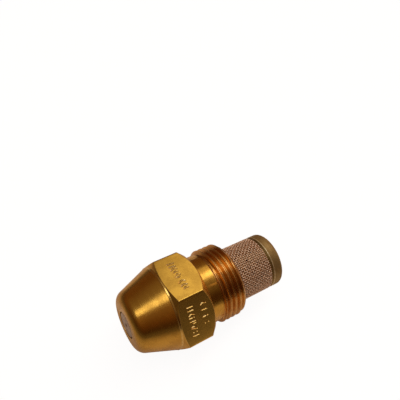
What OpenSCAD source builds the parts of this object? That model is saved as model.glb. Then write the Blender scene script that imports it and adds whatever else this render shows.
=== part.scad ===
// Oil burner nozzle with a screw-in hex body, an orifice disc held by a slotted
// distributor and a locking screw, and a wire-mesh strainer behind the thread.
// The nozzle lies along Y and sprays towards -Y. The origin is on the axis, on
// the sealing face at the rear of the thread. Two hex flats face +Z and -Z.

/* [Body] */
// Size of the hexagon across its flats
hex_af = 16; // [16:0.1:19]
// Length of the hexagon along the axis
hex_len = 6.6; // [6:0.1:9]
// Length of the conical nose, from the front face to the land before the hexagon
nose_len = 6.75; // [6.6:0.05:8]
// Angle between the nose cone and the axis
nose_angle = 21; // [15:1:22]
// Radius of the rounding between the front face and the nose cone
nose_round = 2; // [1:0.1:2.4]
// Width of the narrow cylindrical land between the nose cone and the hexagon
land_len = 0.35; // [0.2:0.05:0.8]
// Length of the plain neck between the hexagon and the thread
neck_len = 2.8; // [2.8:0.1:5]

/* [Mounting thread] */
// Outer diameter of the mounting thread, 9/16 inch
thread_d = 14.29; // [14:0.01:14.6]
// Threads per inch
thread_tpi = 24; // [20:1:28]
// Length of the threaded end
thread_len = 4.6; // [4.2:0.1:6]

/* [Orifice disc] */
// Diameter of the spray orifice
orifice_d = 0.4; // [0.2:0.05:0.6]
// Diameter of the disc's boss, seen in the front face
boss_d = 4.76; // [4.4:0.02:5]
// Width of the ring gap between the boss and the body
boss_gap = 0.16; // [0.05:0.01:0.2]

/* [Distributor] */
// Number of tangential swirl slots
slot_count = 4; // [3:1:6]
// Width of each swirl slot
slot_w = 0.4; // [0.3:0.05:0.6]
// Length of the distributor's cylindrical part
slug_len = 4; // [3.6:0.1:4.4]
// Distance of each swirl slot from the axis
slot_offset = 1.2; // [0.9:0.1:1.4]

/* [Locking screw] */
// Outer diameter of the locking screw
screw_d = 9; // [8.8:0.1:9.2]
// Size of the screw's hexagon socket across its flats
socket_af = 4; // [3:0.5:5]
// Distance the screw can back off before it reaches the strainer
screw_room = 2.1; // [1.6:0.1:2.4]

/* [Strainer] */
// Length of the strainer that stands out behind the sealing face
strainer_len = 10.1; // [10:0.1:16]
// Outer diameter of the mesh sleeve
mesh_d = 10.76; // [10.6:0.02:11]
// Thickness of the woven cloth, two wires
mesh_t = 0.28; // [0.1:0.02:0.3]
// Length of the end cap
cap_len = 2.7; // [2:0.05:3]
// Diameter of the end cap
cap_d = 10.7; // [10.6:0.02:11.2]
// Rows of feed holes in the support core
hole_rows = 3; // [2:1:3]
// Feed holes in each row
holes_per_row = 12; // [8:2:14]

/* [Hidden] */
$fn = 96;

// Small amounts
gap = 0.02;        // between faces that seat on each other
slip = 0.05;       // radial clearance of pieces that turn or slide
press = 0.01;      // radial clearance of pieces that are pushed together for good
over = 1;          // how far a cut runs past the surface it opens
edge = 0.15;       // chamfer that breaks a turned edge

// Stations along the axis, measured from the front face
land_at = nose_len;
hex_at = land_at + land_len;
neck_at = hex_at + hex_len;
thread_at = neck_at + neck_len;
body_len = thread_at + thread_len;
strainer_end = body_len + strainer_len;
cap_at = strainer_end - cap_len;

// Nose: the cone would meet the front face at cone_r, and the rounding takes off round_cut of
// each; bar_r lies outside the hexagon's corners
bar_r = hex_af / 2 / cos(30) + 0.2;
land_r = hex_af / 2 - 0.06;
cone_end_r = land_r - 0.08;
cone_r = cone_end_r - nose_len * tan(nose_angle);
round_turn = 90 - nose_angle;
round_cut = nose_round * tan(round_turn / 2);

// Hexagon chamfers, as angles from the hexagon's end faces; the rear one reaches inside the flats
front_chamfer = 26;
rear_chamfer = 46;
rear_chamfer_r = hex_af / 2 - 0.1;

// Thread form, 60 degrees, as rings at the thread's pitch
thread_r = thread_d / 2;
pitch = 25.4 / thread_tpi;
thread_depth = 0.6134 * pitch;
crest_w = pitch / 8;
flank_w = thread_depth * tan(30);
root_r = thread_r - thread_depth;
neck_r = root_r + 0.08;
rim_r = root_r + 0.25;
rim_len = 0.35;
crest_foot = crest_w / 2 + flank_w;
first_crest = thread_at + crest_foot - 0.05;
crest_count = floor((thread_at + thread_len - rim_len - crest_foot - first_crest) / pitch) + 1;

// Stepped bore of the body
boss_hole_r = boss_d / 2 + boss_gap;
shoulder_at = 1.2;
chamber_r = 4.1;
chamber_end = 8.6;
screw_hole_r = screw_d / 2 + slip;
stem_hole_r = 4.7;
pocket_at = body_len - 2.2;
pocket_r = 5.65;

// Orifice disc
disc_t = 2.2;
disc_back = shoulder_at + disc_t;
swirl_r = 2.3;
swirl_tip_at = disc_back - swirl_r + orifice_d / 2;
disc_face = 0.05;
countersink_r = 0.45;
countersink_depth = 0.27;

// Distributor
slug_r = chamber_r - 0.07;
waist_r = 3.3;
waist_len = 0.8;
groove_w = 1.4;
groove_depth = 0.6;
slug_at = disc_back + gap;
slug_end = slug_at + slug_len;

// Locking screw
screw_nose_at = slug_end + gap;
screw_thread_at = chamber_end + 0.3;
screw_nose_r = 2.6;
stem_at = pocket_at - 2.8;
screw_end = stem_at - screw_room;
socket_depth = 2.7;
feed_r = 0.8;
cross_r = 0.45;
cross_at = (screw_nose_at + screw_thread_at) / 2;

// Strainer
mesh_r = mesh_d / 2;
mesh_in_r = mesh_r - mesh_t;
collar_at = pocket_at + gap;
collar_end = collar_at + 1.3;
core_r = mesh_in_r - 0.04;
core_in_r = 4.35;
core_at = collar_end + gap;
core_end = cap_at - gap;
stem_end = core_at + 1.4;
cap_spigot_at = core_end - 1.4;
stem_bore_r = 1.8;
ferrule_in_r = mesh_r + gap;
ferrule_r = pocket_r - slip;
ferrule_at = collar_at + 0.2;
ferrule_end = body_len - 0.3;
core_hole_r = 0.25;
cap_bevel = 0.55;
cap_step = 0.35;
cap_rim = 0.7;

// Puts a piece turned about +Z from the front face onto the nozzle's axis
module on_axis() {
    translate([0, -body_len, 0]) rotate([-90, 0, 0]) children();
}

// A solid of revolution from [radius, station] points
module turned(outline) {
    rotate_extrude() polygon(outline);
}

// A plain round stretch between two stations
module barrel(r, from, to) {
    translate([0, 0, from]) cylinder(r = r, h = to - from);
}

// A hexagonal stretch between two stations, with corners on the X axis
module hex_bar(af, from, to) {
    translate([0, 0, from]) cylinder(r = af / 2 / cos(30), h = to - from, $fn = 6);
}

// One ring of the thread around the given station, as [radius, station] points
function crest(at) = [
    [root_r, at - crest_foot],
    [thread_r, at - crest_w / 2],
    [thread_r, at + crest_w / 2],
    [root_r, at + crest_foot]];
thread_outline = [for (i = [0 : crest_count - 1]) each crest(first_crest + i * pitch)];

// The rounding from the front face onto the cone
round_start_r = cone_r - round_cut;
nose_outline = [for (i = [0 : 10]) let (a = round_turn * i / 10)
    [round_start_r + nose_round * sin(a), nose_round * (1 - cos(a))]];

// Everything outside the body is one turned outline, cut by the hexagon bar
body_outline = concat(
    [[0, 0]],
    nose_outline,
    [[cone_end_r, land_at], [land_r, land_at + 0.06], [land_r, hex_at],
     [bar_r, hex_at + (bar_r - land_r) * tan(front_chamfer)],
     [bar_r, neck_at - (bar_r - rear_chamfer_r) * tan(rear_chamfer)],
     [rear_chamfer_r, neck_at], [neck_r, neck_at], [neck_r, thread_at - 0.1]],
    thread_outline,
    [[root_r, body_len - rim_len], [rim_r, body_len - rim_len + 0.15], [rim_r, body_len - 0.1],
     [rim_r - 0.1, body_len], [0, body_len]]);

body_bore = [[0, -over], [boss_hole_r, -over], [boss_hole_r, shoulder_at],
    [chamber_r, shoulder_at], [chamber_r, chamber_end], [screw_hole_r, chamber_end],
    [screw_hole_r, stem_at - 0.4], [stem_hole_r, stem_at - 0.4], [stem_hole_r, pocket_at],
    [pocket_r, pocket_at], [pocket_r, body_len - edge], [pocket_r + edge, body_len],
    [pocket_r + edge, body_len + over], [0, body_len + over]];

module nozzle_body() {
    color("goldenrod") on_axis() difference() {
        intersection() {
            turned(body_outline);
            hex_bar(hex_af, -over, body_len + over);
        }
        turned(body_bore);
    }
}

// Steel disc with a countersunk orifice in front and a swirl chamber behind
module orifice_disc() {
    r = boss_d / 2;
    color("lightsteelblue") on_axis() difference() {
        turned([[0, disc_face], [r - edge, disc_face], [r, disc_face + edge],
            [r, shoulder_at + gap], [chamber_r - slip, shoulder_at + gap],
            [chamber_r - slip, disc_back], [0, disc_back]]);
        turned([[0, 0], [countersink_r, 0], [countersink_r, disc_face],
            [orifice_d / 2, disc_face + countersink_depth], [orifice_d / 2, swirl_tip_at],
            [swirl_r, disc_back], [swirl_r, disc_back + over], [0, disc_back + over]]);
    }
}

// Steel slug: tangential slots on its cone swirl the oil, grooves on its side feed them
module swirl_distributor() {
    tip_r = orifice_d / 2 + 0.25;
    color("silver") on_axis() difference() {
        turned([[0, slug_at - swirl_r + tip_r], [tip_r, slug_at - swirl_r + tip_r],
            [swirl_r, slug_at], [waist_r, slug_at], [waist_r, slug_at + waist_len],
            [slug_r, slug_at + waist_len], [slug_r, slug_end - edge], [slug_r - edge, slug_end],
            [0, slug_end]]);
        for (i = [0 : slot_count - 1]) rotate([0, 0, i * 360 / slot_count]) {
            translate([0, slot_offset, slug_at - swirl_r])
                cube([chamber_r, slot_w, swirl_r + waist_len / 2]);
            translate([slug_r - groove_depth, -groove_w / 2, slug_at])
                cube([over, groove_w, slug_len + over]);
        }
    }
}

// Brass screw that clamps the distributor: oil runs through its socket and cross holes
module locking_screw() {
    r = screw_d / 2;
    color("darkkhaki") on_axis() difference() {
        turned([[0, screw_nose_at], [screw_nose_r, screw_nose_at], [screw_nose_r, screw_thread_at],
            [r - 2 * edge, screw_thread_at], [r, screw_thread_at + 2 * edge],
            [r, screw_end - 2 * edge], [r - 2 * edge, screw_end], [0, screw_end]]);
        hex_bar(socket_af, screw_end - socket_depth, screw_end + over);
        barrel(feed_r, cross_at, screw_end);
        for (a = [0, 90]) translate([0, 0, cross_at]) rotate([90, 0, a])
            cylinder(r = cross_r, h = 4 * screw_nose_r, center = true);
    }
}

// Brass stem: a plug for the body, a collar under the mesh and a spigot for the core
module strainer_stem() {
    plug_r = stem_hole_r - 0.03;
    color("gold") on_axis() difference() {
        turned([[0, stem_at], [plug_r - 2 * edge, stem_at], [plug_r, stem_at + 2 * edge],
            [plug_r, collar_at], [mesh_in_r - press, collar_at], [mesh_in_r - press, collar_end],
            [core_in_r - press, collar_end], [core_in_r - press, stem_end - edge],
            [core_in_r - press - edge, stem_end], [0, stem_end]]);
        barrel(stem_bore_r, stem_at - over, stem_end + over);
    }
}

// Perforated brass tube that holds the cloth round
module support_core() {
    free = cap_spigot_at - stem_end;
    color("peru") on_axis() difference() {
        barrel(core_r, core_at, core_end);
        barrel(core_in_r, core_at - over, core_end + over);
        for (row = [0 : hole_rows - 1], i = [0 : holes_per_row - 1])
            translate([0, 0, stem_end + free * (row + 0.5) / hole_rows])
                rotate([90, 0, (i + row % 2 / 2) * 360 / holes_per_row])
                    translate([0, 0, core_in_r - over]) cylinder(r = core_hole_r, h = 3 * over);
    }
}

// Thin ring that clamps the front end of the cloth on the stem's collar
module mesh_ferrule() {
    color("khaki") on_axis() turned([[ferrule_in_r, ferrule_at], [ferrule_r, ferrule_at],
        [ferrule_r, ferrule_end - edge], [ferrule_r - edge, ferrule_end],
        [ferrule_in_r, ferrule_end]]);
}

// Sleeve of woven wire cloth, as a closed tube of the cloth's thickness
module mesh_sleeve() {
    color("rosybrown") on_axis() difference() {
        barrel(mesh_r, collar_at + gap, cap_at - gap);
        barrel(mesh_in_r, collar_at - over, cap_at + over);
    }
}

// Solid brass cap with a spigot for the core, a bevelled front edge and a rounded rear edge
module end_cap() {
    r = cap_d / 2;
    color("orange") on_axis() turned(concat(
        [[0, cap_spigot_at], [core_in_r - press - edge, cap_spigot_at],
         [core_in_r - press, cap_spigot_at + edge], [core_in_r - press, cap_at],
         [r - cap_step, cap_at], [r, cap_at + cap_bevel]],
        [for (i = [0 : 8]) let (a = 90 * i / 8)
            [r - cap_rim + cap_rim * cos(a), strainer_end - cap_rim + cap_rim * sin(a)]],
        [[0, strainer_end]]));
}

nozzle_body();
orifice_disc();
swirl_distributor();
locking_screw();
strainer_stem();
support_core();
mesh_ferrule();
mesh_sleeve();
end_cap();
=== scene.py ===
"""Looks of the oil burner nozzle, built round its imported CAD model."""

import math

import bmesh
import bpy
import numpy as np
from mathutils import Matrix, Vector


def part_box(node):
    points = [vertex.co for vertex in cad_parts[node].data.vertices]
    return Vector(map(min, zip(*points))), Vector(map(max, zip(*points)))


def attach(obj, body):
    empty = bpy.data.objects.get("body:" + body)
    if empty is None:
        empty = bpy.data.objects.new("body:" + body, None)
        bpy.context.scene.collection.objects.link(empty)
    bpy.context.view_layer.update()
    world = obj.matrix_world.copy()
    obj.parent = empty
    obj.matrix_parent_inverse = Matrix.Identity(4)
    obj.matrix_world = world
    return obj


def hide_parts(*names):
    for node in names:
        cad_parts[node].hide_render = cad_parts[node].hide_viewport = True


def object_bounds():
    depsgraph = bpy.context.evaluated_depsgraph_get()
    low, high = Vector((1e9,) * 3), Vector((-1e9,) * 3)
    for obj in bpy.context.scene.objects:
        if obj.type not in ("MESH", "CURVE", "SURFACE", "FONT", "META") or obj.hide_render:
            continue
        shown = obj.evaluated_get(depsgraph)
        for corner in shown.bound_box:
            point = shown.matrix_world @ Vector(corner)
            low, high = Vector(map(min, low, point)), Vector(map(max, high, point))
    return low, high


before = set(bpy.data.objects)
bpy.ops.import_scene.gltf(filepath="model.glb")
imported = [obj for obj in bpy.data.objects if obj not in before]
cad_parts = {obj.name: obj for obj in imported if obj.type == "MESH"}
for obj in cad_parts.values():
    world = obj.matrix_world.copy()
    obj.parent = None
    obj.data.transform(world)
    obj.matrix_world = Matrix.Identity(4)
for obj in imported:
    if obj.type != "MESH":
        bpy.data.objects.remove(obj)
cad_low, cad_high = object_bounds()

MM = 0.001

# Sizes are in millimetres. A name ends in _R for a radius, in _AT for a station: a place along
# the axis from the front face. These come from the CAD model.
BODY_LOW, BODY_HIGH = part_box("nozzle_body")
CAP_LOW, CAP_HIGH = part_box("end_cap")
SLEEVE_LOW, SLEEVE_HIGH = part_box("mesh_sleeve")
FRONT_Y = BODY_LOW.y / MM
BODY_LEN = (BODY_HIGH.y - BODY_LOW.y) / MM
CAP_SPIGOT_AT = CAP_LOW.y / MM - FRONT_Y
CAP_END_AT = CAP_HIGH.y / MM - FRONT_Y
SLEEVE_AT = SLEEVE_LOW.y / MM - FRONT_Y
SLEEVE_END_AT = SLEEVE_HIGH.y / MM - FRONT_Y
APOTHEM = BODY_HIGH.z / MM
MESH_R = SLEEVE_HIGH.z / MM
CAP_R = CAP_HIGH.z / MM

# Nose, with a short cylindrical land between its cone and the hexagon
NOSE_LEN = 6.75
NOSE_ANGLE = math.radians(21)
NOSE_ROUND = 2.0
LAND_LEN = 0.35
LAND_R = 7.94
LAND_RISE = 0.06
CONE_END_R = 7.86

# Hexagon, with a small radius on its corners and the least length of its chamfers
HEX_AT = NOSE_LEN + LAND_LEN
HEX_LEN = 6.6
HEX_CORNER = 0.3
FRONT_CHAMFER = math.radians(26)
REAR_CHAMFER = math.radians(46)
REAR_CHAMFER_R = 7.9
FRONT_LEAST = 0.05
REAR_LEAST = 0.06

# Neck and mounting thread
NECK_AT = HEX_AT + HEX_LEN
NECK_LEN = 2.8
NECK_R = 6.576
THREAD_AT = NECK_AT + NECK_LEN
THREAD_R = 7.145
PITCH = 25.4 / 24
DEPTH_SHARE = 0.6134
ROOT_R = THREAD_R - DEPTH_SHARE * PITCH
THREAD_ROUND = 0.045

# Half the flat of a crest, the flat beside a root and half the worn part of a crest, in shares
# of the pitch; the worn part's paler colour is partly a painted highlight
CREST_SHARE = 1 / 16
ROOT_SHARE = 1 / 12
WORN_HIGHLIT_SHARE = 1 / 8

# The thread's ends: where the neck stops before it, how fast it rises, and the rim it runs out on
LEAD_GAP = 0.1
LEAD_SLOPE = 3.0
RIM_R = ROOT_R + 0.25
RIM_SLOPE = 0.9
RIM_CHAMFER = 0.1

# Bore
BOSS_HOLE_R = 2.54
SHOULDER_AT = 1.2
CHAMBER_R = 4.1
CHAMBER_END_AT = 8.6
SCREW_HOLE_R = 4.55
STEM_HOLE_R = 4.7
STEM_HOLE_AT = 15.7
POCKET_DEPTH = 2.2
POCKET_AT = BODY_LEN - POCKET_DEPTH
POCKET_R = 5.65
POCKET_CHAMFER = 0.15

# Where the body's section starts and ends on the wall of the boss's hole
SECTION_START_AT = 0.3
SECTION_END_AT = 0.5

# Roundings of the edges
FINE_EDGE = 0.03
LAND_EDGE = 0.04
EDGE = 0.05
HEX_EDGE = 0.07
NECK_FILLET = 0.18

# Woven cloth
WIRE_R = 0.07
WARP_COUNT = 82
WEFT_COUNT = 23

# End cap: its spigot, the step and bevel at its front, its rounded rear edge, and a ring on its
# rear face that keeps the face flat in shading
CAP_GAP = 0.02
CAP_FRONT_AT = SLEEVE_END_AT + CAP_GAP
CAP_SPIGOT_R = 4.34
SPIGOT_CHAMFER = 0.15
CAP_STEP = 0.35
CAP_BEVEL = 0.55
BEVEL_ROUND = 0.4
CAP_RIM = 0.7
CAP_FACE_INSET = 1.2

# A stretch of an outline shorter than this is worn all over, and its paler colour is partly a painted
# highlight, as on the land before the hexagon
NARROW = 0.45

# Most of the shorter stretch beside a corner that its rounding may take
CORNER_REACH = 0.45


# ---------------------------------------------------------------- meshes

def on_axis(radius, station, turn):
    """Points in metres from radius and station in millimetres and the turn about +Y from +Z."""
    return np.stack([radius * np.sin(turn), station + FRONT_Y, radius * np.cos(turn)], -1) * MM


def new_object(name, vertices, faces, materials, face_material=None, wear_and_highlight=None):
    """A smooth-shaded mesh object whose vertices are in metres; the wear value marks its worn edges,
    whose paler colour is partly painted highlight.
    """
    mesh = bpy.data.meshes.new(name)
    mesh.from_pydata(vertices, [], faces)
    if wear_and_highlight is not None:
        mesh.attributes.new("wear_and_highlight", "FLOAT", "POINT").data.foreach_set("value", wear_and_highlight)
    for material in materials:
        mesh.materials.append(material)
    if face_material is not None:
        mesh.polygons.foreach_set("material_index", face_material)
    mesh.polygons.foreach_set("use_smooth", [True] * len(mesh.polygons))
    mesh.update()
    item = bpy.data.objects.new(name, mesh)
    bpy.context.scene.collection.objects.link(item)
    return item


def clean(item, merge=2e-7):
    """Joins coincident vertices and turns every face outwards."""
    work = bmesh.new()
    work.from_mesh(item.data)
    bmesh.ops.remove_doubles(work, verts=work.verts, dist=merge)
    bmesh.ops.dissolve_degenerate(work, edges=work.edges, dist=1e-8)
    bmesh.ops.recalc_face_normals(work, faces=work.faces)
    loose = [v for v in work.verts if not v.link_faces]
    bmesh.ops.delete(work, geom=loose, context="VERTS")
    work.to_mesh(item.data)
    work.free()
    item.data.update()


def as_columns(points):
    """(radius, station) pairs as arrays of one shape, whether or not they vary round the axis."""
    pairs = [np.stack(np.broadcast_arrays(*[np.asarray(v, float) for v in p[:2]])) for p in points]
    return np.broadcast_arrays(*[p.reshape(2, -1) for p in pairs])


def corner_arc(before, here, after, rounding, steps):
    """Points round one corner of an outline as (radius, station, wear), where the wear value also
    paints highlights on the edge.
    """
    before, here, after = as_columns((before, here, after))
    back, ahead = before - here, after - here
    back_len = np.linalg.norm(back, axis=0) + 1e-12
    ahead_len = np.linalg.norm(ahead, axis=0) + 1e-12
    back, ahead = back / back_len, ahead / ahead_len
    turn = math.pi - np.arccos(np.clip((back * ahead).sum(0), -1, 1))
    most = CORNER_REACH * np.minimum(back_len, ahead_len)
    reach = np.minimum(rounding * np.tan(turn / 2), most)
    start, end = here + back * reach, here + ahead * reach
    arc = []
    for k in range(steps + 1):
        t = k / steps
        p = (1 - t) ** 2 * start + 2 * t * (1 - t) * here + t ** 2 * end
        beside = back_len if k == 0 else ahead_len
        worn_and_highlit = 0 < k < steps or np.max(beside) < NARROW
        arc.append((p[0], p[1], 1 if worn_and_highlit else 0))
    return arc


def rounded(points, steps=3):
    """Rounds the corners of an outline of (radius, station, tag, rounding) points.

    The new outline is (radius, station, tag, wear), where wear, which also paints highlights, is 1
    inside a rounded corner and on both sides of a narrow stretch."""
    made = []
    for i, (r, s, tag, rounding) in enumerate(points):
        if rounding <= 0 or i in (0, len(points) - 1):
            made.append((r, s, tag, 0))
            continue
        arc = corner_arc(points[i - 1], points[i], points[i + 1], rounding, steps)
        made.extend((radius, station, tag, wear_and_highlight) for radius, station, wear_and_highlight in arc)
    return made


def swept(name, outline, turns, materials, closed=True):
    """Sweeps an outline of (radius, station, material index, wear) round the axis through turns; the
    wear value also paints highlights.
    """
    columns = len(turns)
    radius = np.stack([np.broadcast_to(np.asarray(p[0], float).ravel(), columns) for p in outline], 1)
    station = np.stack([np.broadcast_to(np.asarray(p[1], float).ravel(), columns) for p in outline], 1)
    vertices = on_axis(radius, station, turns[:, None]).reshape(-1, 3)
    rows = len(outline)
    last = rows if closed else rows - 1
    i, j = np.meshgrid(np.arange(columns - 1), np.arange(last), indexing="ij")
    k = (j + 1) % rows
    faces = np.stack([i * rows + j, (i + 1) * rows + j, (i + 1) * rows + k, i * rows + k], -1)
    tags = np.array([p[2] for p in outline])[j]
    wear_and_highlight = np.tile([float(p[3]) for p in outline], columns)
    return new_object(name, vertices.tolist(), faces.reshape(-1, 4).tolist(), materials,
                      tags.ravel().tolist(), wear_and_highlight)


def add_weighted_normals(item):
    """Keeps large faces flat in shading beside their small rounded edges."""
    item.modifiers.new("normals", "WEIGHTED_NORMAL").keep_sharp = True


# ---------------------------------------------------------------- body

TURNED, BAR, THREAD, BORE, STAMP = range(5)

# Punched strokes in millimetres: half width above the flat, half width at the bottom, depth
STROKE_OVER = 0.03
FAINT = (0.26, 0.06, 0.07)
DEEP = (0.18, 0.03, 0.13)

# Each mark is a few strokes of (across, along, length, lean, bend): places and lengths in shares
# of the row's height, lean and bend in degrees
MARKS = {
    "bars": ((-0.27, 0, 0.85, 6, 0), (0.27, 0, 0.85, 6, 0)),
    "lean": ((0, 0, 0.9, 22, 0),),
    "dots": ((0, 0.3, 0.04, 0, 0), (0, -0.3, 0.04, 0, 0)),
    "step": ((-0.26, 0.2, 0.4, 0, 0), (0.26, -0.2, 0.4, 0, 0)),
    "bar": ((0, 0, 0.9, 4, 0),),
    "half": ((0, -0.22, 0.45, 0, 0), (0, 0.36, 0.04, 0, 0)),
    "arcs": ((-0.3, 0, 0.85, 0, 70), (0.2, 0, 0.6, 0, 70)),
    "wave": ((-0.24, 0.14, 0.6, 10, 90), (0.26, -0.14, 0.6, 10, -90)),
    "moon": ((0, 0, 0.95, 0, 100),),
}

# Rows of marks: flat, kind of stroke, station, height of the row, first mark, spacing, marks
MARK_ROWS = (
    (0, FAINT, 10.1, 1.3, -2.45, 1.22, ("bars", "arcs", "wave", "moon", "arcs")),
    (1, DEEP, 9.3, 1.1, -2.8, 0.7,
     ("bar", "bar", "moon", "half", "bar", "step", "lean", "dots", "bar")),
    (1, DEEP, 11.8, 1.05, -2.5, 1.3, ("moon", "bar", "half", "dots")),
)


def hexagon_corner():
    """How far out a corner's arc is centred, and the turn from the corner to the arc's end."""
    centre = (APOTHEM - HEX_CORNER) / math.cos(math.pi / 6)
    end = math.atan2(HEX_CORNER / 2, centre + HEX_CORNER * math.cos(math.pi / 6))
    return centre, end


def hexagon_turns(per_flat=32):
    """Turn angles for one revolution, with extra ones across each rounded corner."""
    _, end = hexagon_corner()
    corner = np.linspace(-end, end, 7)
    flat = np.linspace(end, math.pi / 3 - end, per_flat)[1:-1]
    sector = np.concatenate([corner, flat])
    turns = np.concatenate([sector + math.pi / 6 + k * math.pi / 3 for k in range(6)])
    return np.concatenate([turns, [turns[0] + 2 * math.pi]])


def hexagon_radius(turns):
    """Radius of the hexagon with rounded corners at each turn angle."""
    centre, end = hexagon_corner()
    off_corner = (turns + math.pi) % (math.pi / 3) - math.pi / 6
    off_flat = (turns + math.pi / 6) % (math.pi / 3) - math.pi / 6
    flat = APOTHEM / np.cos(off_flat)
    inside = np.maximum(HEX_CORNER ** 2 - (centre * np.sin(off_corner)) ** 2, 0)
    arc = centre * np.cos(off_corner) + np.sqrt(inside)
    return np.where(np.abs(off_corner) <= end + 1e-9, arc, flat)


def thread_form():
    """One pitch of the thread as (offset, radius), rounded at crest and root."""
    crest, root = CREST_SHARE * PITCH, ROOT_SHARE * PITCH
    corners = [(-PITCH / 2, ROOT_R), (-PITCH / 2 + root, ROOT_R), (-crest, THREAD_R),
               (crest, THREAD_R), (PITCH / 2 - root, ROOT_R), (PITCH / 2, ROOT_R)]
    points = [corners[0]]
    for before, here, after in zip(corners, corners[1:], corners[2:]):
        a = min(THREAD_ROUND / math.dist(before, here), CORNER_REACH)
        b = min(THREAD_ROUND / math.dist(after, here), CORNER_REACH)
        start = [h + (p - h) * a for h, p in zip(here, before)]
        end = [h + (p - h) * b for h, p in zip(here, after)]
        for t in (0.0, 0.33, 0.67, 1.0):
            points.append(tuple((1 - t) ** 2 * s + 2 * t * (1 - t) * h + t * t * e
                                for s, h, e in zip(start, here, end)))
        on_flank = here[1] != after[1]
        if on_flank:
            points.append(tuple((h + a) / 2 for h, a in zip(here, after)))
    return np.array(points)


def thread_outline(turns):
    """The right-handed thread as outline points that climb one pitch a turn."""
    form = thread_form()
    end = BODY_LEN - RIM_CHAMFER
    climb = PITCH * (turns - turns[0]) / (2 * math.pi)
    blocks = int(math.ceil((end - THREAD_AT) / PITCH)) + 2
    made = []
    for block in range(-1, blocks):
        for offset, _ in form:
            base = block * PITCH + offset
            station = np.clip(THREAD_AT + base + climb, THREAD_AT, end)
            phase = (station - THREAD_AT - climb + PITCH / 2) % PITCH - PITCH / 2
            radius = np.interp(phase, form[:, 0], form[:, 1])
            lead_in = ROOT_R + (station - THREAD_AT) * LEAD_SLOPE
            lead_out = RIM_R + (end - station) * RIM_SLOPE
            # Crests are marked worn; their paler colour is partly a painted highlight
            worn_and_highlit = 1 if abs(offset) < WORN_HIGHLIT_SHARE * PITCH else 0
            made.append((np.minimum(np.minimum(radius, lead_in), lead_out), station, THREAD, worn_and_highlit))
    return made


def nose_arc():
    """The rounding between the front face and the cone."""
    cone_r = CONE_END_R - NOSE_LEN * math.tan(NOSE_ANGLE)
    turn = math.pi / 2 - NOSE_ANGLE
    start = cone_r - NOSE_ROUND * math.tan(turn / 2)
    return [(start + NOSE_ROUND * math.sin(a), NOSE_ROUND * (1 - math.cos(a)), TURNED, 0)
            for a in np.linspace(0, turn, 20)]


def body_outside(turns):
    """The body's outside from the boss's hole to the start of the thread."""
    hexagon = hexagon_radius(turns)
    front = HEX_AT + np.maximum(FRONT_LEAST, (hexagon - LAND_R) * math.tan(FRONT_CHAMFER))
    rear = NECK_AT - np.maximum(REAR_LEAST, (hexagon - REAR_CHAMFER_R) * math.tan(REAR_CHAMFER))
    face_r = np.minimum(REAR_CHAMFER_R, hexagon - REAR_LEAST)
    return [
        (BOSS_HOLE_R, SECTION_START_AT, BORE, 0),
        (BOSS_HOLE_R, 0, TURNED, EDGE),
        *nose_arc(),
        (CONE_END_R, NOSE_LEN, TURNED, FINE_EDGE),
        (LAND_R, NOSE_LEN + LAND_RISE, TURNED, FINE_EDGE),
        (LAND_R, HEX_AT, TURNED, LAND_EDGE),
        (hexagon, front, BAR, HEX_EDGE),
        (hexagon, rear, TURNED, HEX_EDGE),
        (face_r, NECK_AT, TURNED, EDGE),
        (NECK_R, NECK_AT, TURNED, NECK_FILLET),
        (NECK_R, THREAD_AT - LEAD_GAP, THREAD, 0)]


def body_inside():
    """The body's rim and bore, from rear to front."""
    return [
        (RIM_R - RIM_CHAMFER, BODY_LEN, TURNED, 0),
        (POCKET_R + POCKET_CHAMFER, BODY_LEN, BORE, FINE_EDGE),
        (POCKET_R, BODY_LEN - POCKET_CHAMFER, BORE, FINE_EDGE),
        (POCKET_R, POCKET_AT, BORE, FINE_EDGE),
        (STEM_HOLE_R, POCKET_AT, BORE, EDGE),
        (STEM_HOLE_R, STEM_HOLE_AT, BORE, FINE_EDGE),
        (SCREW_HOLE_R, STEM_HOLE_AT, BORE, FINE_EDGE),
        (SCREW_HOLE_R, CHAMBER_END_AT, BORE, FINE_EDGE),
        (CHAMBER_R, CHAMBER_END_AT, BORE, EDGE),
        (CHAMBER_R, SHOULDER_AT, BORE, FINE_EDGE),
        (BOSS_HOLE_R, SHOULDER_AT, BORE, FINE_EDGE),
        (BOSS_HOLE_R, SECTION_END_AT, BORE, 0)]


def body_outline(turns):
    """The body's whole section, outside from front to rear and back through its bore."""
    return rounded(body_outside(turns)) + thread_outline(turns) + rounded(body_inside())


def on_flat(flat, across, station, height):
    """A point in metres near a hexagon flat: across it, along the axis and above its surface."""
    turn = flat * math.pi / 3
    outward = Vector((math.sin(turn), 0, math.cos(turn)))
    sideways = Vector((math.cos(turn), 0, -math.sin(turn)))
    along = Vector((0, station + FRONT_Y, 0))
    return (outward * (APOTHEM + height) + sideways * across + along) * MM


def stroke_points(length, lean, bend, width, ends=6, sides=5):
    """The rounded outline of a punched stroke about its middle, as (across, along) pairs."""
    points = []
    for side in (1, -1):
        for k in range(ends):
            angle = math.pi * k / (ends - 1) - (0 if side > 0 else math.pi)
            points.append((width * math.cos(angle), side * length / 2 + width * math.sin(angle)))
        for k in range(1, sides):
            points.append((-side * width, side * length * (0.5 - k / sides)))
    if bend:
        radius = length / bend
        points = [(radius - (radius - x) * math.cos(y / radius), (radius - x) * math.sin(y / radius))
                  for x, y in points]
    c, s = math.cos(lean), math.sin(lean)
    return [(x * c + y * s, y * c - x * s) for x, y in points]


def add_stroke(vertices, faces, flat, kind, across, station, length, lean, bend):
    """One tapered cutter of a punched stroke, wider above the flat than at its bottom."""
    first = len(vertices)
    wide, narrow, depth = kind
    top = stroke_points(length, lean, bend, wide)
    bottom = stroke_points(length, lean, bend, narrow)
    for ring, height in ((top, STROKE_OVER), (bottom, -depth)):
        vertices.extend(on_flat(flat, across + x, station + y, height) for x, y in ring)
    count = len(top)
    faces.append([first + k for k in range(count)])
    faces.append([first + count + k for k in reversed(range(count))])
    for k in range(count):
        n = (k + 1) % count
        faces.append([first + k, first + count + k, first + count + n, first + n])


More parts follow.
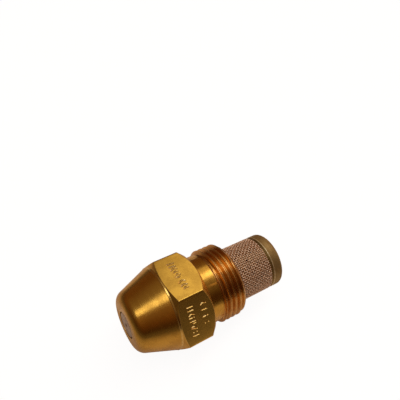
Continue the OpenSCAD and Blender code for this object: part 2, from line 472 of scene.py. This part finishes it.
def make_marks(material):
    """Rows of punched bars, arcs and dots that stand for the stamped marks on two flats."""
    vertices, faces = [], []
    for flat, kind, station, height, start, step, pattern in MARK_ROWS:
        for k, strokes in enumerate(pattern):
            for across, along, length, lean, bend in MARKS[strokes]:
                add_stroke(vertices, faces, flat, kind, start + k * step + across * height,
                           station + along * height, length * height, math.radians(lean),
                           math.radians(bend))
    marks = new_object("mark_cutter", vertices, faces, [material])
    clean(marks)
    return marks


def cut(item, cutter):
    """Takes the cutter's solid out of the item's mesh and removes the cutter."""
    step = item.modifiers.new("cut", "BOOLEAN")
    step.object = cutter
    step.solver = "EXACT"
    step.use_self = True
    step.material_mode = "TRANSFER"
    made = bpy.data.meshes.new_from_object(
        item.evaluated_get(bpy.context.evaluated_depsgraph_get()))
    item.modifiers.clear()
    old = item.data
    item.data = made
    bpy.data.meshes.remove(old)
    bpy.data.objects.remove(cutter)


def sharpen(item, tag, angle=20):
    """Marks the edges round and inside faces of one material as sharp where they turn."""
    work = bmesh.new()
    work.from_mesh(item.data)
    for line in work.edges:
        if any(f.material_index == tag for f in line.link_faces):
            line.smooth = line.calc_face_angle(0) < math.radians(angle)
    work.to_mesh(item.data)
    work.free()


def make_body(materials):
    """The brass body with its thread, bore and punched marks."""
    turns = hexagon_turns()
    body = swept("body_shell", body_outline(turns), turns, materials)
    clean(body)
    cut(body, make_marks(materials[STAMP]))
    sharpen(body, STAMP)
    add_weighted_normals(body)
    return body


# ---------------------------------------------------------------- strainer

def tubes(paths, sides=8):
    """Vertices and faces of round wires: each path is (centres, normals, binormals, is closed)."""
    vertices, faces = [], []
    angles = np.arange(sides) * 2 * math.pi / sides
    for centres, normals, binormals, ring in paths:
        first = len(vertices)
        around = (centres[:, None] + WIRE_R * MM * (np.cos(angles)[None, :, None] * normals[:, None]
                  + np.sin(angles)[None, :, None] * binormals[:, None]))
        vertices.extend(around.reshape(-1, 3).tolist())
        count = len(centres)
        for i in range(count if ring else count - 1):
            for j in range(sides):
                a, b = first + i * sides, first + (i + 1) % count * sides
                faces.append((a + j, a + (j + 1) % sides, b + (j + 1) % sides, b + j))
        if not ring:
            faces.append(tuple(first + j for j in reversed(range(sides))))
            faces.append(tuple(first + (count - 1) * sides + j for j in range(sides)))
    return vertices, faces


def make_warp(material, samples=4):
    """The wires that run along the nozzle, over one cross wire and under the next."""
    step = (SLEEVE_END_AT - SLEEVE_AT) / WEFT_COUNT
    station = np.linspace(SLEEVE_AT, SLEEVE_END_AT, WEFT_COUNT * samples + 1)
    middle = MESH_R - 2 * WIRE_R
    paths = []
    for wire in range(WARP_COUNT):
        phase = math.pi * ((station - SLEEVE_AT) / step - 0.5 + wire)
        radius = middle + WIRE_R * np.cos(phase)
        slope = -WIRE_R * math.pi / step * np.sin(phase)
        length = np.hypot(1, slope)
        turn = 2 * math.pi * wire / WARP_COUNT
        outward = np.array([math.sin(turn), 0, math.cos(turn)])
        along = np.array([0, 1.0, 0])
        normals = (outward[None] - slope[:, None] * along[None]) / length[:, None]
        sideways = np.broadcast_to(np.array([math.cos(turn), 0, -math.sin(turn)]), normals.shape)
        paths.append((on_axis(radius, station, np.full_like(station, turn)), normals, sideways, False))
    vertices, faces = tubes(paths)
    return new_object("mesh_long_wires", vertices, faces, [material])


def make_weft(material, samples=4):
    """The wires that run round the sleeve."""
    step = (SLEEVE_END_AT - SLEEVE_AT) / WEFT_COUNT
    turn = np.arange(WARP_COUNT * samples) * 2 * math.pi / (WARP_COUNT * samples)
    middle = MESH_R - 2 * WIRE_R
    paths = []
    for wire in range(WEFT_COUNT):
        phase = math.pi * wire + WARP_COUNT / 2 * turn
        radius = middle - WIRE_R * np.cos(phase)
        slope = WIRE_R * WARP_COUNT / 2 * np.sin(phase) / middle
        length = np.hypot(1, slope)[:, None]
        outward = np.stack([np.sin(turn), 0 * turn, np.cos(turn)], -1)
        sideways = np.stack([np.cos(turn), 0 * turn, -np.sin(turn)], -1)
        normals = (outward - slope[:, None] * sideways) / length
        along = np.broadcast_to(np.array([0, 1.0, 0]), normals.shape)
        station = np.full_like(turn, SLEEVE_AT + (wire + 0.5) * step)
        paths.append((on_axis(radius, station, turn), normals, along, True))
    vertices, faces = tubes(paths)
    return new_object("mesh_ring_wires", vertices, faces, [material])


def cap_outline():
    """The end cap's section: spigot, front step, bevel, band, rounded rear edge and rear face."""
    # The bevel's faces take the darker material that paints shade beside the mesh's end
    band, bevel = 0, 1
    arc = [(CAP_R - CAP_RIM * (1 - math.cos(a)), CAP_END_AT - CAP_RIM * (1 - math.sin(a)), band, 0)
           for a in np.linspace(0, math.pi / 2, 12)]
    return rounded([
        (0, CAP_SPIGOT_AT, band, 0),
        (CAP_SPIGOT_R - SPIGOT_CHAMFER, CAP_SPIGOT_AT, band, FINE_EDGE),
        (CAP_SPIGOT_R, CAP_SPIGOT_AT + SPIGOT_CHAMFER, band, FINE_EDGE),
        (CAP_SPIGOT_R, CAP_FRONT_AT, bevel, FINE_EDGE),
        (CAP_R - CAP_STEP, CAP_FRONT_AT, bevel, EDGE),
        (CAP_R, CAP_FRONT_AT + CAP_BEVEL, band, BEVEL_ROUND),
        *arc,
        (CAP_R - CAP_FACE_INSET, CAP_END_AT, band, 0),
        (0, CAP_END_AT, band, 0)])


def make_cap(materials, segments=160):
    """The brass end cap with its spigot, front bevel and rounded rear edge."""
    turns = np.linspace(0, 2 * math.pi, segments + 1)
    cap = swept("cap_shell", cap_outline(), turns, materials, closed=False)
    clean(cap)
    add_weighted_normals(cap)
    return cap


# ---------------------------------------------------------------- looks

class Graph:
    """A short way to write shader nodes."""

    def __init__(self, tree):
        self.tree = tree
        tree.nodes.clear()

    def add(self, kind, inputs=None, **settings):
        """A new node; each input is a value or a socket to link."""
        node = self.tree.nodes.new("ShaderNode" + kind)
        for key, value in settings.items():
            setattr(node, key, value)
        for key, value in (inputs or {}).items():
            if isinstance(value, bpy.types.NodeSocket):
                self.tree.links.new(value, node.inputs[key])
            else:
                node.inputs[key].default_value = value
        return node

    def math(self, operation, a, b=0.0):
        return self.add("Math", {0: a, 1: b}, operation=operation).outputs[0]

    def ramp(self, value, low, high, out_low=0.0, out_high=1.0):
        """value from low..high to out_low..out_high, smooth and clamped."""
        return self.add("MapRange", {"Value": value, "From Min": low, "From Max": high,
                                     "To Min": out_low, "To Max": out_high},
                        interpolation_type="SMOOTHSTEP").outputs["Result"]

    def mix(self, share, a, b):
        """The colour between a and b, each a colour or a socket."""
        node = self.add("Mix", {"Factor": share}, data_type="RGBA")
        for socket, value in zip([s for s in node.inputs if s.type == "RGBA"], (a, b)):
            if isinstance(value, bpy.types.NodeSocket):
                self.tree.links.new(value, socket)
            else:
                socket.default_value = (*value, 1)
        return [s for s in node.outputs if s.type == "RGBA"][0]

    def total(self, *values):
        """The sum of all the values."""
        made = values[0]
        for value in values[1:]:
            made = self.math("ADD", made, value)
        return made

    def noise(self, vector, scale, detail, roughness=0.55):
        return self.add("TexNoise", {"Vector": vector, "Scale": scale, "Detail": detail,
                                     "Roughness": roughness}).outputs["Fac"]

    def ring_noise(self, profile, scale, detail):
        """Noise that changes along a turned outline only, as lathe rings do."""
        return self.add("TexNoise", {"W": profile, "Scale": scale, "Detail": detail},
                        noise_dimensions="1D").outputs["Fac"]


def new_material(name):
    """An empty material and its graph."""
    material = bpy.data.materials.new(name)
    material.use_nodes = True
    return material, Graph(material.node_tree)


def scaled(graph, vector, x, y, z):
    """vector with each axis multiplied, so that noise on it is stretched."""
    return graph.add("VectorMath", {0: vector, 1: (x, y, z)}, operation="MULTIPLY").outputs[0]


# Features of the metal's finish, as noise scales in 1/mm
BLOTCH_SCALE = 0.42
SPECKLE_SCALE = 3.2
GRIT_SCALE = 16
RING_SCALE = 6.25
BROAD_RING_SCALE = 1.1
DRAWN_SCALES = (6, 0.9, 6)

# A ring's place is its station plus this share of its radius, so that rings run on over ends
RADIUS_SHARE = 0.83

# What the finish adds to the roughness, and what wear takes away, as a share of it
TARNISH_ROUGH = 0.22
RING_ROUGH = 0.12
GRIT_ROUGH = 0.08
WEAR_POLISH = 0.25

# Height of the finish in millimetres, and the drawn lines and pits against the lathe rings
RELIEF = 0.0015
DRAWN_HEIGHT = 3
PIT_HEIGHT = 0.35


def lathe_profile(g, in_mm):
    """How far along the turned outline a point lies, in millimetres."""
    station = g.add("SeparateXYZ", {0: in_mm}).outputs["Y"]
    radius = g.add("VectorMath", {0: scaled(g, in_mm, 1, 0, 1)}, operation="LENGTH").outputs["Value"]
    return g.math("ADD", station, g.math("MULTIPLY", radius, RADIUS_SHARE))


def finish_colour(g, colours, tarnish, grit, worn_and_highlit, pits):
    """The base colour darkened by tarnish and pits and brightened on worn edges, a brightening that is
    partly painted highlight.
    """
    base, dark, bright = colours
    colour = g.mix(tarnish, base, dark)
    pit = g.math("MULTIPLY", g.ramp(grit, 0.62, 0.72), pits * 0.5)
    return g.mix(worn_and_highlit, g.mix(pit, colour, dark), bright)


def finish_roughness(g, rough, tarnish, broad, grit, worn_and_highlit, turned):
    """The roughness: more where tarnished, uneven along the turned rings, less where worn."""
    rings = g.math("MULTIPLY", g.math("SUBTRACT", broad, 0.5), RING_ROUGH * turned)
    grains = g.math("MULTIPLY", g.math("SUBTRACT", grit, 0.5), GRIT_ROUGH)
    raised = g.total(rough, g.math("MULTIPLY", tarnish, TARNISH_ROUGH), rings, grains)
    return g.math("SUBTRACT", raised, g.math("MULTIPLY", worn_and_highlit, WEAR_POLISH * rough))


def metal(name, base, dark, bright, rough, turned=0.0, drawn=0.0, stain=0.35, pits=0.3,
          direction=0.0, wear_and_highlight=0.6, bump=1.0):
    """Worn metal: lathe rings or drawn lines, blotchy tarnish, fine pits and bright worn edges that are
    partly painted highlights.

    turned and drawn are the strengths of the rings round the axis and the lines along it, and
    direction is how far they stretch a reflection."""
    material, g = new_material(name)
    in_mm = scaled(g, g.add("TexCoord").outputs["Object"], 1 / MM, 1 / MM, 1 / MM)
    profile = lathe_profile(g, in_mm)
    rings = g.ring_noise(profile, RING_SCALE, 2)
    broad = g.ring_noise(profile, BROAD_RING_SCALE, 1)
    lines = g.noise(scaled(g, in_mm, *DRAWN_SCALES), 1, 2)
    blotch = g.noise(in_mm, BLOTCH_SCALE, 4, 0.6)
    speckle = g.noise(in_mm, SPECKLE_SCALE, 3, 0.6)
    grit = g.noise(in_mm, GRIT_SCALE, 2)
    uneven = g.math("ADD", blotch, g.math("MULTIPLY", speckle, 0.35))
    tarnish = g.math("MULTIPLY", g.ramp(uneven, 0.55, 0.85), stain)
    edges = g.add("Attribute", attribute_name="wear_and_highlight").outputs["Fac"]
    # Worn edges take the bright colour: partly real wear, partly a painted highlight along edges and
    # crests
    worn_and_highlit = g.math("MULTIPLY", edges, g.ramp(speckle, 0.35, 0.6, wear_and_highlight * 0.4, wear_and_highlight))
    height = g.total(g.math("MULTIPLY", rings, turned), g.math("MULTIPLY", lines, drawn * DRAWN_HEIGHT),
                     g.math("MULTIPLY", grit, pits * PIT_HEIGHT))
    relief = g.add("Bump", {"Height": height, "Strength": 1.0, "Distance": RELIEF * MM * bump})
    tangent = g.add("Tangent", direction_type="RADIAL", axis="Y")
    surface = g.add("BsdfPrincipled", {
        "Base Color": finish_colour(g, (base, dark, bright), tarnish, grit, worn_and_highlit, pits),
        "Metallic": 1.0,
        "Roughness": finish_roughness(g, rough, tarnish, broad, grit, worn_and_highlit, turned),
        "Normal": relief.outputs["Normal"],
        "Tangent": tangent.outputs[0],
        "Anisotropic": direction,
        "Anisotropic Rotation": 0.0 if drawn > turned else 0.25})
    g.add("OutputMaterial", {"Surface": surface.outputs[0]})
    return material


def make_materials():
    """Every material by the part it covers: base, dark and bright colour, then roughness."""
    return {
        "turned": metal("body_turned_brass", (0.84, 0.485, 0.085), (0.44, 0.21, 0.03),
                        (0.95, 0.72, 0.28), 0.24, turned=1.0, direction=0.6),
        "bar": metal("body_bar_brass", (0.94, 0.60, 0.12), (0.66, 0.38, 0.07),
                     (0.99, 0.82, 0.42), 0.13, drawn=0.5, direction=0.5, stain=0.45),
        "thread": metal("body_thread_brass", (0.72, 0.38, 0.10), (0.38, 0.16, 0.04),
                        (0.88, 0.54, 0.21), 0.24, turned=0.6, direction=0.3, stain=0.45),
        "bore": metal("body_bore_brass", (0.62, 0.40, 0.14), (0.28, 0.15, 0.05),
                      (0.80, 0.60, 0.30), 0.4, turned=1.0, stain=0.6),
        "stamp": metal("stamped_brass", (0.80, 0.50, 0.13), (0.42, 0.22, 0.05),
                       (0.97, 0.82, 0.50), 0.3, stain=0.2, pits=0.4),
        # The cap's edges are fully worn: their bright colour paints the highlight line along the edge
        # of its front bevel
        "cap": metal("cap_brass_turned", (0.48, 0.35, 0.155), (0.38, 0.23, 0.08),
                     (1.0, 0.88, 0.60), 0.62, turned=1.0, stain=0.5, wear_and_highlight=1.0),
        # A darker copy of the cap's brass for its bevel: painted shade in the step beside the mesh's
        # end
        "bevel": metal("cap_brass_bevel_painted_shade", (0.34, 0.23, 0.08), (0.22, 0.13, 0.04),
                       (0.90, 0.74, 0.42), 0.5, turned=1.0, stain=0.5),
        "inner": metal("inner_brass", (0.72, 0.53, 0.22), (0.40, 0.26, 0.09),
                       (0.90, 0.74, 0.40), 0.33, turned=0.8, stain=0.4, wear_and_highlight=0.0),
        "wire": metal("woven_wire_bronze", (1.0, 0.78, 0.62), (0.80, 0.58, 0.44),
                      (1.0, 0.88, 0.76), 0.38, stain=0.25, pits=0.1, wear_and_highlight=0.0, bump=0.2),
        "core": metal("core_brass", (0.62, 0.45, 0.26), (0.46, 0.31, 0.17),
                      (0.76, 0.58, 0.36), 0.4, turned=0.6, stain=0.3, wear_and_highlight=0.0),
        "disc": metal("disc_steel", (0.58, 0.46, 0.38), (0.32, 0.24, 0.19),
                      (0.78, 0.70, 0.62), 0.36, turned=1.0, direction=0.4, stain=0.4, wear_and_highlight=0.0),
        "steel": metal("distributor_steel", (0.60, 0.57, 0.54), (0.34, 0.30, 0.27),
                       (0.80, 0.78, 0.76), 0.32, turned=1.0, stain=0.35, wear_and_highlight=0.0),
    }


def dress_cad_node(name, material, bevel=0.04):
    """Gives a carried-over CAD node its material and small rounded edges."""
    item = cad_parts[name]
    item.data.materials.clear()
    item.data.materials.append(material)
    rounding = item.modifiers.new("rounding", "BEVEL")
    rounding.width = bevel * MM
    rounding.segments = 2
    rounding.limit_method = "ANGLE"
    rounding.angle_limit = math.radians(40)
    add_weighted_normals(item)


def make_object(looks):
    """Every piece of the nozzle on its CAD body."""
    body = make_body([looks[k] for k in ("turned", "bar", "thread", "bore", "stamp")])
    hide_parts("nozzle_body")
    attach(body, "nozzle")
    long_wires = make_warp(looks["wire"])
    ring_wires = make_weft(looks["wire"])
    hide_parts("mesh_sleeve")
    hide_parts("mesh_sleeve")
    for wires in (long_wires, ring_wires):
        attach(wires, "strainer")
    cap = make_cap([looks["cap"], looks["bevel"]])
    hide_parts("end_cap")
    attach(cap, "strainer")
    dress_cad_node("orifice_disc", looks["disc"])
    dress_cad_node("swirl_distributor", looks["steel"])
    dress_cad_node("locking_screw", looks["inner"])
    dress_cad_node("strainer_stem", looks["inner"])
    dress_cad_node("support_core", looks["core"], 0.02)
    dress_cad_node("mesh_ferrule", looks["inner"], 0.02)


# ---------------------------------------------------------------- studio

# Floor, in millimetres, and how white the camera sees it
FLOOR_Z = -APOTHEM
FLOOR_HALF = 3000.0
FLOOR_WHITE = 0.94

# Share of the nozzle's shadow that the camera sees on the white floor
SHADOW_SHARE = 0.2

# The pool of light painted on the floor that the nozzle reflects, its paper fading to black with a
# painted glow: its middle, how far out it is full, how far out it ends, the least share of light left
# there, and its colours
POOL_MIDDLE = (-10, 35)
POOL_FULL = 50
POOL_END = 100
POOL_LEAST = 0.18
PAINTED_POOL_PAPER = (0.80, 0.72, 0.64)
PAINTED_POOL_GLOW = (1.0, 0.84, 0.70, 1)

# The long soft box overhead: height, length, width, the turn of its length from the nozzle's
# axis, its brightness and its colour
BOX_HEIGHT = 600.0
BOX_LENGTH = 900.0
BOX_WIDTH = 200.0
BOX_TURN = math.radians(15)
BOX_RADIANCE = 1.7
BOX_COLOUR = (1.0, 0.97, 0.92)

# The dim room's colours towards +X, towards -X and overhead
WALL_RIGHT = (0.045, 0.020, 0.009)
WALL_LEFT = (0.13, 0.060, 0.026)
CEILING = (0.20, 0.14, 0.09)

# Soft lit patches of the room: direction, cosines where each is full and where it ends, colour
ROOM_GLOWS = (
    ((0.587, -0.492, 0.643), 0.985, 0.80, (0.075, 0.028, 0.006)),
    ((-0.38, 0.43, 0.82), 0.990, 0.967, (0.64, 0.56, 0.41)),
    ((-0.15, 0.9, 0.41), 0.94, 0.81, (0.9, 0.62, 0.45)),
)

# The camera looks down from beyond the hexagon's side corner, towards the nose and the flats
AZIMUTH = math.radians(54.56)
ELEVATION = math.radians(44.32)
ROLL = math.radians(5.71)
DISTANCE = 84.65
AIM_LEFT = 0.29
AIM_ABOVE = 16.93
LENS = 40.13
SENSOR = 36.0


def floor_for_reflections(g):
    """A painted pool of warm light round the nozzle: paper that fades into dark floor, with a painted
    glow.
    """
    place = g.add("NewGeometry").outputs["Position"]
    middle = (POOL_MIDDLE[0] * MM, POOL_MIDDLE[1] * MM, FLOOR_Z * MM)
    away = g.add("VectorMath", {0: place, 1: middle}, operation="DISTANCE").outputs["Value"]
    near = g.ramp(away, POOL_FULL * MM, POOL_END * MM, 1.0, POOL_LEAST)
    painted_pool_paper = g.add("BsdfDiffuse", {"Color": g.mix(near, (0.0, 0.0, 0.0), PAINTED_POOL_PAPER)})
    # The pool's glow is painted light: the floor emits it though it is no lamp
    glow = g.add("Emission", {"Color": PAINTED_POOL_GLOW, "Strength": g.math("MULTIPLY", near, 0.12)})
    return g.add("AddShader", {0: painted_pool_paper.outputs[0], 1: glow.outputs[0]}).outputs[0]


def floor_for_camera(g):
    """Near white that shows a share of the nozzle's shadow."""
    shade = g.add("BsdfDiffuse", {"Color": (0.9, 0.9, 0.9, 1)})
    black = g.add("Emission", {"Strength": 0.0})
    soft = g.add("MixShader", {0: SHADOW_SHARE, 1: black.outputs[0], 2: shade.outputs[0]})
    white = g.add("Emission", {"Color": (1, 1, 1, 1), "Strength": FLOOR_WHITE})
    return g.add("AddShader", {0: soft.outputs[0], 1: white.outputs[0]}).outputs[0]


def make_floor():
    """A plain pale floor that the camera sees as near white, and sees through from below."""
    mesh = bpy.data.meshes.new("floor")
    half, z = FLOOR_HALF * MM, FLOOR_Z * MM
    mesh.from_pydata([(-half, -half, z), (half, -half, z), (half, half, z), (-half, half, z)],
                     [], [(0, 1, 2, 3)])
    floor = bpy.data.objects.new("floor", mesh)
    bpy.context.scene.collection.objects.link(floor)
    material, g = new_material("floor_white")
    camera_ray = g.add("LightPath").outputs["Is Camera Ray"]
    above = g.add("MixShader", {0: camera_ray, 1: floor_for_reflections(g), 2: floor_for_camera(g)})
    below = g.add("NewGeometry").outputs["Backfacing"]
    clear = g.add("BsdfTransparent")
    final = g.add("MixShader", {0: below, 1: above.outputs[0], 2: clear.outputs[0]})
    g.add("OutputMaterial", {"Surface": final.outputs[0]})
    floor.data.materials.append(material)


def make_room():
    """White behind the object for the camera; a dim warm room for everything else."""
    world = bpy.data.worlds.new("room")
    bpy.context.scene.world = world
    world.use_nodes = True
    g = Graph(world.node_tree)
    direction = g.add("TexCoord").outputs["Generated"]
    split = g.add("SeparateXYZ", {0: direction})
    left = g.ramp(split.outputs["X"], -1.0, 0.6, 1.0, 0.0)
    height = g.ramp(split.outputs["Z"], 0.35, 1.0)
    room = g.mix(height, g.mix(left, WALL_RIGHT, WALL_LEFT), CEILING)
    for towards, inner, outer, colour in ROOM_GLOWS:
        near = g.add("VectorMath", {0: direction, 1: towards}, operation="DOT_PRODUCT")
        share = g.ramp(near.outputs["Value"], outer, inner)
        glow = g.add("VectorMath", {0: colour, "Scale": share}, operation="SCALE")
        room = g.add("VectorMath", {0: room, 1: glow.outputs[0]}, operation="ADD").outputs[0]
    dim = g.add("Background", {"Color": room, "Strength": 1.0})
    white = g.add("Background", {"Color": (1, 1, 1, 1), "Strength": 1.0})
    camera_ray = g.add("LightPath").outputs["Is Camera Ray"]
    both = g.add("MixShader", {0: camera_ray, 1: dim.outputs[0], 2: white.outputs[0]})
    g.add("OutputWorld", {"Surface": both.outputs[0]})


def make_box_light():
    """The long soft box over the nozzle."""
    light = bpy.data.lights.new("overhead_box", "AREA")
    light.shape = "RECTANGLE"
    light.size = BOX_WIDTH * MM
    light.size_y = BOX_LENGTH * MM
    light.energy = BOX_RADIANCE * math.pi * light.size * light.size_y
    light.color = BOX_COLOUR
    item = bpy.data.objects.new("overhead_box", light)
    item.location = (0, 0, BOX_HEIGHT * MM)
    item.rotation_euler = (0, 0, BOX_TURN)
    bpy.context.scene.collection.objects.link(item)


def make_camera():
    """The camera, aimed at the middle of the CAD model with a small shift of the picture."""
    back = Vector((math.sin(AZIMUTH) * math.cos(ELEVATION),
                   -math.cos(AZIMUTH) * math.cos(ELEVATION), math.sin(ELEVATION)))
    level = Vector((math.cos(AZIMUTH), math.sin(AZIMUTH), 0))
    right = level * math.cos(ROLL) + back.cross(level) * math.sin(ROLL)
    up = back.cross(right)
    middle = (cad_low + cad_high) / 2
    lens = bpy.data.cameras.new("camera")
    lens.lens = LENS
    lens.sensor_width = SENSOR
    lens.clip_start = 1 * MM
    lens.clip_end = 10
    camera = bpy.data.objects.new("camera", lens)
    place = middle + (back * DISTANCE - right * AIM_LEFT + up * AIM_ABOVE) * MM
    turn = Matrix((right, up, back)).transposed()
    camera.matrix_world = Matrix.Translation(place) @ turn.to_4x4()
    bpy.context.scene.collection.objects.link(camera)
    bpy.context.scene.camera = camera


make_object(make_materials())
make_floor()
make_room()
make_box_light()
make_camera()
bpy.context.scene.view_settings.view_transform = "Standard"
